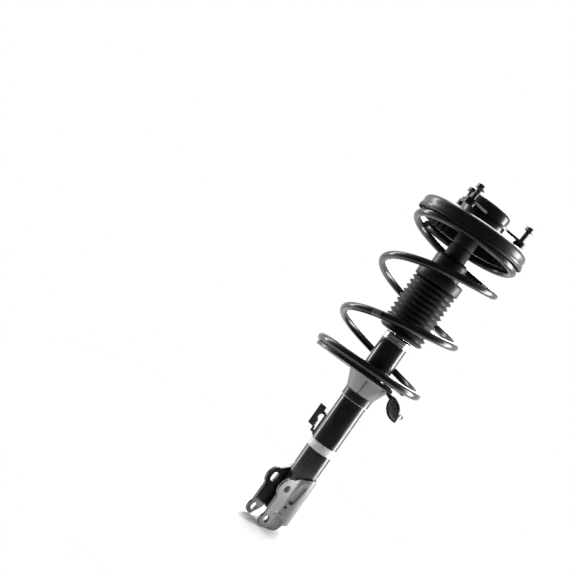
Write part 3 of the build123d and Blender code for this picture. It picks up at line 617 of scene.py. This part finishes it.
def leaf_outline(steps=14):
    """The clip tab's leaf as (x, z) points: a smooth curve through five points of the CAD's outline."""
    corners = [Vector(p) * MM for p in ((39, -317), (46, -309), (67, -322), (71.5, -340), (46.4, -333))]
    points = []
    for index, start in enumerate(corners):
        before = corners[index - 1]
        end = corners[(index + 1) % len(corners)]
        after = corners[(index + 2) % len(corners)]
        for step in range(steps):
            t = step / steps
            points.append(0.5 * (
                2 * start + (end - before) * t + (2 * before - 5 * start + 4 * end - after) * t**2
                + (3 * start - before - 3 * end + after) * t**3
            ))
    return points


def build_cone_fold():
    """The short pressed fold down the front of the cone, in the darker seat coat as painted shade in the
    crease.
    """
    heading = radians(-60)
    thickness = 1.5 * MM
    rise = 23.0 * MM
    flare = 12.0 * MM  # how far the cone widens over the fold's height
    drift = 3.0 * MM  # how far the fold's top lies to one side of its foot
    steps = 24
    sides = 14
    tangent = Vector((-sin(heading), cos(heading), 0))
    outward = Vector((cos(heading), sin(heading), 0))
    path = []
    radii = []
    for step in range(steps + 1):
        share = step / steps
        r = COLLAR_R + 0.2 * MM + flare * share**1.35
        z = COLLAR_TOP + 1.5 * MM + rise * share
        path.append(outward * r + tangent * (drift * share) + Vector((0, 0, z)))
        radii.append(thickness * (0.35 + 0.65 * sin(pi * (0.1 + 0.8 * share))))
    faces = skin_faces(len(path), sides, capped=True)
    # the fold takes the darker seat coat: painted shade along the crease
    fold = make_piece("cone_fold_painted_shade", tube_rings(path, radii, sides), faces, SEAT_COAT, 80)
    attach(fold, "strut_lower")


def build_tab_relief():
    """The pressed relief on the clip tab: a rim round the leaf and a low crowned middle, which has the
    lighter coat as a painted sheen.
    """
    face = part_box("clip_tab")[0].y
    outline = leaf_outline()
    centre = sum(outline, Vector((0, 0))) / len(outline)
    rings = 7
    crown_share = 0.86  # how wide the crown is, against the leaf
    crown_height = 1.3 * MM
    sunk = 0.05 * MM
    rim_share = 0.93  # where the rim runs, against the leaf
    rim_r = 0.8 * MM
    rim_sides = 10
    vertices = []
    for ring in range(rings):
        share = crown_share * (1 - ring / (rings - 1)) + 0.02
        height = crown_height * (1 - (share / crown_share) ** 2)
        for point in outline:
            x, z = centre + (point - centre) * share
            vertices.append((x, face + sunk - height, z))
    # the crown takes the lighter coat: a painted sheen on the black tab
    relief = make_piece("tab_crown", vertices, skin_faces(rings, len(outline), capped=True), PAINTED_SHEEN_COAT, 60)
    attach(relief, "strut_lower")
    path = []
    for point in outline:
        x, z = centre + (point - centre) * rim_share
        path.append((x, face, z))
    rim_points = tube_rings(path, [rim_r] * len(path), rim_sides, closed=True)
    bead = make_piece("tab_rim", rim_points, skin_faces(len(path), rim_sides, closed=True), BLACK_COAT, 80)
    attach(bead, "strut_lower")


def build_gland():
    """The bright closing nut, with a rolled top edge and a shallow groove."""
    groove = (TUBE_TOP + GLAND_TOP) / 2 - 2.0 * MM
    groove_depth = 0.5 * MM
    rolled = 2.2 * MM
    rolled_middle = 0.7 * MM
    hole = ROD_R + 0.6 * MM
    outline = [
        (hole, TUBE_TOP), (TUBE_R, TUBE_TOP), (TUBE_R, groove - groove_depth),
        (TUBE_R - groove_depth, groove), (TUBE_R, groove + groove_depth), (TUBE_R, GLAND_TOP - rolled),
        (TUBE_R - rolled_middle, GLAND_TOP - rolled_middle), (TUBE_R - rolled, GLAND_TOP), (hole, GLAND_TOP),
    ]
    gland = lathe("gland_ring", rounded(outline, 0.4 * MM), BRIGHT)
    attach(gland, "strut_lower")
    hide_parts("gland_nut")


def build_upper_seat():
    """The pressed upper seat: a round-shouldered dish with a shallow step in its top and a rolled lip."""
    hole = 24.0 * MM
    step_depth = 1.2 * MM
    shoulder_r = 9.0 * MM
    shoulder_steps = 8
    wall_r = UPPER_SEAT_R - 1.2 * MM
    inner_r = UPPER_SEAT_R - SEAT_SHEET
    inner_top = UPPER_SEAT_TOP - SEAT_SHEET
    outer = [
        (hole, UPPER_SEAT_TOP), (44 * MM, UPPER_SEAT_TOP), (47 * MM, UPPER_SEAT_TOP - step_depth),
        (62 * MM, UPPER_SEAT_TOP - step_depth), (65 * MM, UPPER_SEAT_TOP), (81 * MM, UPPER_SEAT_TOP),
    ]
    for step in range(shoulder_steps + 1):
        angle = radians(90 * (1 - step / shoulder_steps))
        outer.append((
            wall_r - shoulder_r + shoulder_r * cos(angle),
            UPPER_SEAT_TOP - shoulder_r + shoulder_r * sin(angle),
        ))
    outer += [
        (wall_r, UPPER_SEAT_BOTTOM + 4.5 * MM), (UPPER_SEAT_R - 0.2 * MM, UPPER_SEAT_BOTTOM + 3.2 * MM),
        (UPPER_SEAT_R, UPPER_SEAT_BOTTOM + 1.4 * MM), (UPPER_SEAT_R - 0.6 * MM, UPPER_SEAT_BOTTOM + 0.2 * MM),
    ]
    inner = [
        (inner_r, UPPER_SEAT_BOTTOM + 0.2 * MM), (inner_r, UPPER_SEAT_TOP - shoulder_r),
        (inner_r - 0.3 * shoulder_r, inner_top - 0.25 * shoulder_r),
        (inner_r - 0.9 * shoulder_r, inner_top), (hole, inner_top),
    ]
    seat = lathe("upper_dish", outer + inner, SEAT_COAT, segments=192, sharp=40)
    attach(seat, "spring_head")
    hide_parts("upper_seat")


def build_isolator_ribs():
    """Moulded ribs on the inside of the upper rubber."""
    ribs = 36
    half_width = 1.3 * MM
    reach = 1.6 * MM
    root = 0.6 * MM  # how deep in the rubber a rib starts
    wire_gap = 1.2 * MM
    inner = COIL_R - 1.4 * WIRE_R
    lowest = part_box("upper_isolator")[0].z
    top = UPPER_SEAT_TOP - 4.0 * MM
    section = rounded([
        (inner + root, -half_width), (inner - reach, -half_width * 0.6),
        (inner - reach, half_width * 0.6), (inner + root, half_width),
    ], 0.5 * MM)
    vertices = []
    faces = []
    for rib in range(ribs):
        turn = Matrix.Rotation(2 * pi * rib / ribs, 3, "Z")
        spot = turn @ Vector((inner, 0, 0))
        coil_rise = TOP_COIL_TILT * (spot.x * cos(SEAT_HEADING) + spot.y * sin(SEAT_HEADING))
        bottom = COIL_BOTTOM_Z + COIL_RISE + WIRE_R + wire_gap + coil_rise
        faces += skin_faces(2, len(section), len(vertices), capped=True)
        for height in (max(bottom, lowest), top):
            vertices += [turn @ Vector((point.x, point.y, height)) for point in section]
    piece = make_piece("isolator_ribs", vertices, faces, MATT_RUBBER)
    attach(piece, "spring_head")


def build_isolator_lip():
    """The rubber's thin lip, which shows below the upper seat's rim."""
    inner_r = UPPER_SEAT_R - 1.6 * MM
    outer_r = UPPER_SEAT_R + 0.3 * MM
    top = UPPER_SEAT_BOTTOM + 0.1 * MM
    bottom = UPPER_SEAT_BOTTOM - 3.4 * MM
    outline = [(inner_r, top), (inner_r, bottom), (outer_r, bottom), (outer_r, top)]
    lip = lathe("isolator_lip", rounded(outline, 0.6 * MM), MATT_RUBBER, segments=192)
    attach(lip, "spring_head")


# ---------------------------------------------------------------- fasteners


STUD_THREAD = (4.0 * MM, 3.45 * MM, 1.25 * MM)  # radius, root radius and pitch
TAB_THREAD = (3.0 * MM, 2.55 * MM, 1.0 * MM)


def threaded_rings(radius, root, pitch, length):
    """Rings up a threaded bar about Z, with a chamfered point at its top."""
    sides = 36
    per_pitch = 8
    point = 0.3 * MM  # how far the point's end is below the thread's root
    count = ceil(length / pitch * per_pitch)
    rings = []
    for step in range(count + 1):
        height = length * step / count
        limit = root - point + (length - height)
        for side in range(sides):
            phase = (height / pitch - side / sides) % 1.0
            crest = 1 - abs(2 * phase - 1)
            r = min(root + (radius - root) * min(1.0, 1.35 * crest), limit)
            angle = 2 * pi * side / sides
            rings.append(Vector((r * cos(angle), r * sin(angle), height)))
    return rings, count + 1, sides


def nut_rings(flats, bore, low, high, flange_r=0.0, flange=0.0):
    """Rings of a hexagon nut about Z, chamfered at its corners, with an optional round flange at its foot."""
    sides = 72
    chamfer = 0.9 * MM
    countersink = 0.5 * MM
    uncut = 9.0  # metres, wider than any nut, so that only the flats limit the ring
    if flange_r:
        foot = [
            (flange_r - 0.4 * MM, low), (flange_r, low + 0.4 * MM),
            (flange_r, low + flange * 0.55), (flats * 0.56, low + flange),
        ]
    else:
        # a plain nut has this second ring twice, here and at the start of the profile's next part
        foot = [(flats * 0.5, low), (uncut, low + chamfer * 0.5)]
    profile = foot + [
        (uncut, low + flange + chamfer * 0.5), (uncut, high - chamfer * 0.7), (flats * 0.5, high),
        (bore + countersink, high), (bore, high - countersink),
        (bore, low + 0.3 * MM), (bore + 0.3 * MM, low),
    ]
    rings = []
    for limit, height in profile:
        for side in range(sides):
            angle = 2 * pi * side / sides
            in_flat = (angle + pi / 6) % (pi / 3) - pi / 6
            hexagon_r = flats / 2 / cos(in_flat)
            # rings no wider than the flange are round
            r = limit if limit <= flange_r else min(limit, hexagon_r)
            rings.append(Vector((r * cos(angle), r * sin(angle), height)))
    return rings, len(profile), sides


def stud_head_rings():
    """Rings of a stud's round head and of its shank up through the plate, to the plate's top face."""
    sides = 48
    head = 6.0 * MM
    head_r = 9.0 * MM
    shank_r = 4.3 * MM
    profile = [
        (head_r - 0.6 * MM, 0.0), (head_r, 0.6 * MM), (head_r, head - 1.4 * MM),
        (head_r - 1.0 * MM, head - 0.2 * MM), (shank_r, head), (shank_r, head + PLATE),
    ]
    rings = []
    for r, height in profile:
        for side in range(sides):
            angle = 2 * pi * side / sides
            rings.append(Vector((r * cos(angle), r * sin(angle), height - PLATE - head)))
    return rings, len(profile), sides


def gather(name, groups, material, body, replaced):
    """One piece from several placed sets of rings: (rings, ring count, sides, matrix, closed)."""
    vertices = []
    faces = []
    for rings, count, sides, matrix, closed in groups:
        faces += skin_faces(count, sides, len(vertices), closed=closed, capped=not closed)
        vertices += [matrix @ point for point in rings]
    piece = make_piece(name, vertices, faces, material, sharp=32)
    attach(piece, body)
    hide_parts(replaced)


def stud_matrices():
    """Where each stud stands on the mount plate."""
    for angle in STUD_ANGLES:
        place = Vector((STUD_CIRCLE_R * cos(radians(angle)), STUD_CIRCLE_R * sin(radians(angle)), 0))
        yield MOUNT_MATRIX @ Matrix.Translation(place)


def build_studs():
    """Threaded studs with round heads under the plate, and a flanged nut on each."""
    past_nut = 1.0 * MM
    foot = STUD_LENGTH - NUT_HEIGHT
    head = stud_head_rings()
    thread = threaded_rings(*STUD_THREAD, STUD_LENGTH + past_nut)
    nut = nut_rings(flats=13.0 * MM, bore=3.5 * MM, low=foot, high=STUD_LENGTH,
                    flange_r=8.0 * MM, flange=2.0 * MM)
    places = list(stud_matrices())
    heads = [(*head, place, False) for place in places]
    threads = [(*thread, place, False) for place in places]
    nuts = [(*nut, place, True) for place in places]
    gather("stud_heads", heads, BLACK_COAT, "top_mount", "mount_studs")
    gather("threaded_studs", threads, ZINC, "top_mount", "mount_studs")
    gather("flange_nuts", nuts, ZINC, "top_mount", "stud_nuts")


def build_tab_fasteners():
    """The small threaded stud and its nut on the clip tab, along +Y."""
    low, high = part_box("tab_stud")
    centre = (low + high) / 2
    place = Matrix.Translation((centre.x, low.y, centre.z)) @ Matrix.Rotation(radians(-90), 4, "X")
    thread = threaded_rings(*TAB_THREAD, high.y - low.y)
    nut = nut_rings(flats=10.0 * MM, bore=2.6 * MM, low=0.0, high=5.0 * MM)
    gather("tab_thread", [(*thread, place, False)], ZINC, "strut_lower", "tab_stud")
    gather("tab_hex", [(*nut, place, True)], ZINC, "strut_lower", "tab_nut")


# ---------------------------------------------------------------- welds


WELD_SPACING = 0.45 * MM  # between the points along a bead


def weld_bead(name, points, closed, size):
    """A rippled weld bead along a path of points."""
    sides = 14
    ripple_pitch = 2.0 * MM
    path = [Vector(point) for point in points]
    length = 0.0
    radii = []
    for index, point in enumerate(path):
        if index:
            length += (point - path[index - 1]).length
        ripple = 0.5 + 0.5 * cos(2 * pi * length / ripple_pitch)
        wander = sin(length * 310.0) + sin(length * 173.0 + 1.0)
        radii.append(size * (0.86 + 0.10 * ripple + 0.035 * wander))
    if not closed:
        radii[0] = radii[-1] = size * 0.4
    faces = skin_faces(len(path), sides, closed=closed, capped=not closed)
    bead = make_piece(name, tube_rings(path, radii, sides, closed), faces, WELD_COAT, 80)
    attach(bead, "strut_lower")


def arc_points(radius, height, start, end, spacing=WELD_SPACING):
    """Points along an arc about the damper axis, in degrees; height is a number or a rule from x and y."""
    sweep = radians(end - start)
    count = ceil(abs(sweep) * radius / spacing)
    points = []
    for step in range(count + 1):
        angle = radians(start) + sweep * step / count
        x = radius * cos(angle)
        y = radius * sin(angle)
        points.append((x, y, height(x, y) if callable(height) else height))
    return points


def line_points(start, end):
    """Evenly spaced points on a straight line."""
    a = Vector(start)
    b = Vector(end)
    count = ceil((b - a).length / WELD_SPACING)
    return [a.lerp(b, step / count) for step in range(count + 1)]


def seat_under(x, y):
    """Height of the lower seat's underside at a place."""
    below_wire = WIRE_R + PAD + SPRING_GAP + SEAT_SHEET
    centre = COIL_BOTTOM_Z - below_wire * hypot(1, SEAT_TILT)
    rise = (x - SEAT_OFFSET[0]) * cos(SEAT_HEADING) + (y - SEAT_OFFSET[1]) * sin(SEAT_HEADING)
    return centre + SEAT_TILT * rise


def build_welds():
    """Weld beads where such parts are usually joined. The CAD has none."""
    bracket_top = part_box("knuckle_bracket")[1].z
    cone_rim_r = 36.2 * MM
    spot_arc = 10  # degrees
    spot_places = ((-459.0 * MM, -80), (-468.0 * MM, -76))  # height, and the arc's start in degrees
    hose_weld_r = TUBE_R + 1.1 * MM
    hose_heading = 180
    hose_half_spread = 34
    collar_path = arc_points(COLLAR_R - 0.3 * MM, COLLAR_TOP, 0, 359, 0.5 * MM)
    weld_bead("weld_collar_top", collar_path, True, 1.2 * MM)
    bracket_path = arc_points(TUBE_R + 0.9 * MM, bracket_top + 0.2 * MM, -8, 188)
    weld_bead("weld_bracket_top", bracket_path, False, 1.9 * MM)
    cone_path = arc_points(cone_rim_r, lambda x, y: seat_under(x, y) - 0.4 * MM, 100, 345)
    weld_bead("weld_cone_seat", cone_path, False, 1.3 * MM)
    for number, (height, start) in enumerate(spot_places, 1):
        spot_path = arc_points(TUBE_R, height, start, start + spot_arc)
        weld_bead(f"weld_spot_{number}", spot_path, False, 1.4 * MM)
    low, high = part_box("hose_bracket")
    for number, side in enumerate((-1, 1), 1):
        angle = radians(hose_heading + side * hose_half_spread)
        x = hose_weld_r * cos(angle)
        y = hose_weld_r * sin(angle)
        hose_path = line_points((x, y, high.z - 9 * MM), (x, y, low.z + 3 * MM))
        weld_bead(f"weld_hose_{number}", hose_path, False, 1.1 * MM)


# ---------------------------------------------------------------- stage


def stage_material():
    """Pale floor with a very faint unevenness."""
    shader = Shader("pale_floor", specular=0.2)
    tone = shader.mix(shader.noise(2.0, 2.0), grey(0.93), grey(0.95))
    roughness = shader.spread(shader.noise(6.0, 2.0), 0.3, 0.7, 0.75, 0.85)
    return shader.finish(tone, roughness, shader.bump(shader.noise(40.0, 2.0), 0.02 * MM, 0.1))


def build_floor():
    """A disc just below the strut's foot."""
    radius = 0.5
    sides = 96
    height = cad_low.z - 0.4 * MM
    angles = [2 * pi * side / sides for side in range(sides)]
    rim = [(radius * cos(angle), radius * sin(angle), height) for angle in angles]
    floor = make_piece("floor", rim, [tuple(range(sides))], stage_material())


def area_light(name, place, aim, width, height, power):
    """A soft rectangular light that faces a point."""
    data = bpy.data.lights.new(name, "AREA")
    data.shape = "RECTANGLE"
    data.size = width
    data.size_y = height
    data.energy = power
    light = bpy.data.objects.new(name, data)
    light.location = place
    light.rotation_euler = (Vector(aim) - Vector(place)).to_track_quat("-Z", "Y").to_euler()
    bpy.context.scene.collection.objects.link(light)


def build_world():
    """White to the camera. As a light it is full behind the strut, less beside it and dim in front."""
    dim_up_to = -0.35  # how far a direction points away from the viewer, from -1 to 1
    bright_from = 0.55
    dim = 0.10
    bright = 1.0
    white = (1.0, 1.0, 1.0, 1.0)
    world = bpy.data.worlds.new("studio")
    world.use_nodes = True
    tree = world.node_tree
    place = tree.nodes.new("ShaderNodeTexCoord")
    facing = tree.nodes.new("ShaderNodeVectorMath")
    facing.operation = "DOT_PRODUCT"
    facing.inputs[1].default_value = (-sin(VIEW_AZIMUTH), cos(VIEW_AZIMUTH), 0.0)
    tree.links.new(place.outputs["Generated"], facing.inputs[0])
    ramp = tree.nodes.new("ShaderNodeMapRange")
    ramp.interpolation_type = "SMOOTHSTEP"
    numbers = (("From Min", dim_up_to), ("From Max", bright_from), ("To Min", dim), ("To Max", bright))
    for socket, number in numbers:
        ramp.inputs[socket].default_value = number
    tree.links.new(facing.outputs["Value"], ramp.inputs["Value"])
    lit = tree.nodes["Background"]
    lit.inputs["Color"].default_value = white
    tree.links.new(ramp.outputs["Result"], lit.inputs["Strength"])
    seen = tree.nodes.new("ShaderNodeBackground")
    seen.inputs["Color"].default_value = white
    seen.inputs["Strength"].default_value = 1.0
    path = tree.nodes.new("ShaderNodeLightPath")
    choice = tree.nodes.new("ShaderNodeMixShader")
    tree.links.new(path.outputs["Is Camera Ray"], choice.inputs["Fac"])
    tree.links.new(lit.outputs["Background"], choice.inputs[1])
    tree.links.new(seen.outputs["Background"], choice.inputs[2])
    tree.links.new(choice.outputs["Shader"], tree.nodes["World Output"].inputs["Surface"])
    bpy.context.scene.world = world


def build_lamps():
    """A wide sun from above and behind, and tall softboxes at the left, the right and the back."""
    sun_data = bpy.data.lights.new("overhead", "SUN")
    sun_data.energy = 2.4
    sun_data.angle = radians(40)
    sun = bpy.data.objects.new("overhead", sun_data)
    sun.rotation_euler = Vector((0.40, -0.55, -1.0)).to_track_quat("-Z", "Y").to_euler()
    bpy.context.scene.collection.objects.link(sun)
    middle = (0.0, 0.0, -0.3)
    area_light("softbox_left", (-1.6, -0.5, 0.0), middle, 0.3, 1.8, 20)
    area_light("softbox_right", (0.9, 1.25, -0.2), middle, 0.6, 1.6, 45)
    area_light("softbox_back", (-0.9, 1.5, 0.4), middle, 0.5, 1.2, 20)
    bpy.context.scene.view_settings.view_transform = "Standard"


def build_camera():
    """The photograph's view: from the front right, a little above, rolled so that the strut leans right."""
    elevation = radians(3.6)
    distance = 1.3876
    roll = radians(34.69)
    centre = Vector((0, 0, -0.28))
    aim = Vector((-0.1320, -0.1284, -0.2656))
    back = Vector((
        sin(VIEW_AZIMUTH) * cos(elevation), -cos(VIEW_AZIMUTH) * cos(elevation), sin(elevation),
    ))
    data = bpy.data.cameras.new("camera")
    data.lens = 55.62
    data.sensor_width = 36.0
    data.clip_start = 0.01
    data.clip_end = 60.0
    camera = bpy.data.objects.new("camera", data)
    place = centre + back * distance
    turn = (aim - place).to_track_quat("-Z", "Y").to_matrix().to_4x4()
    camera.matrix_world = Matrix.Translation(place) @ turn @ Matrix.Rotation(roll, 4, "Z")
    bpy.context.scene.collection.objects.link(camera)
    bpy.context.scene.camera = camera


paint_cad_nodes()
build_coil()
build_boot()
build_bump_stop()
build_collar()
build_collar_highlight_band()
build_cone_fold()
build_tab_relief()
build_gland()
build_upper_seat()
build_isolator_lip()
build_isolator_ribs()
build_studs()
build_tab_fasteners()
build_welds()
build_floor()
build_world()
build_lamps()
build_camera()
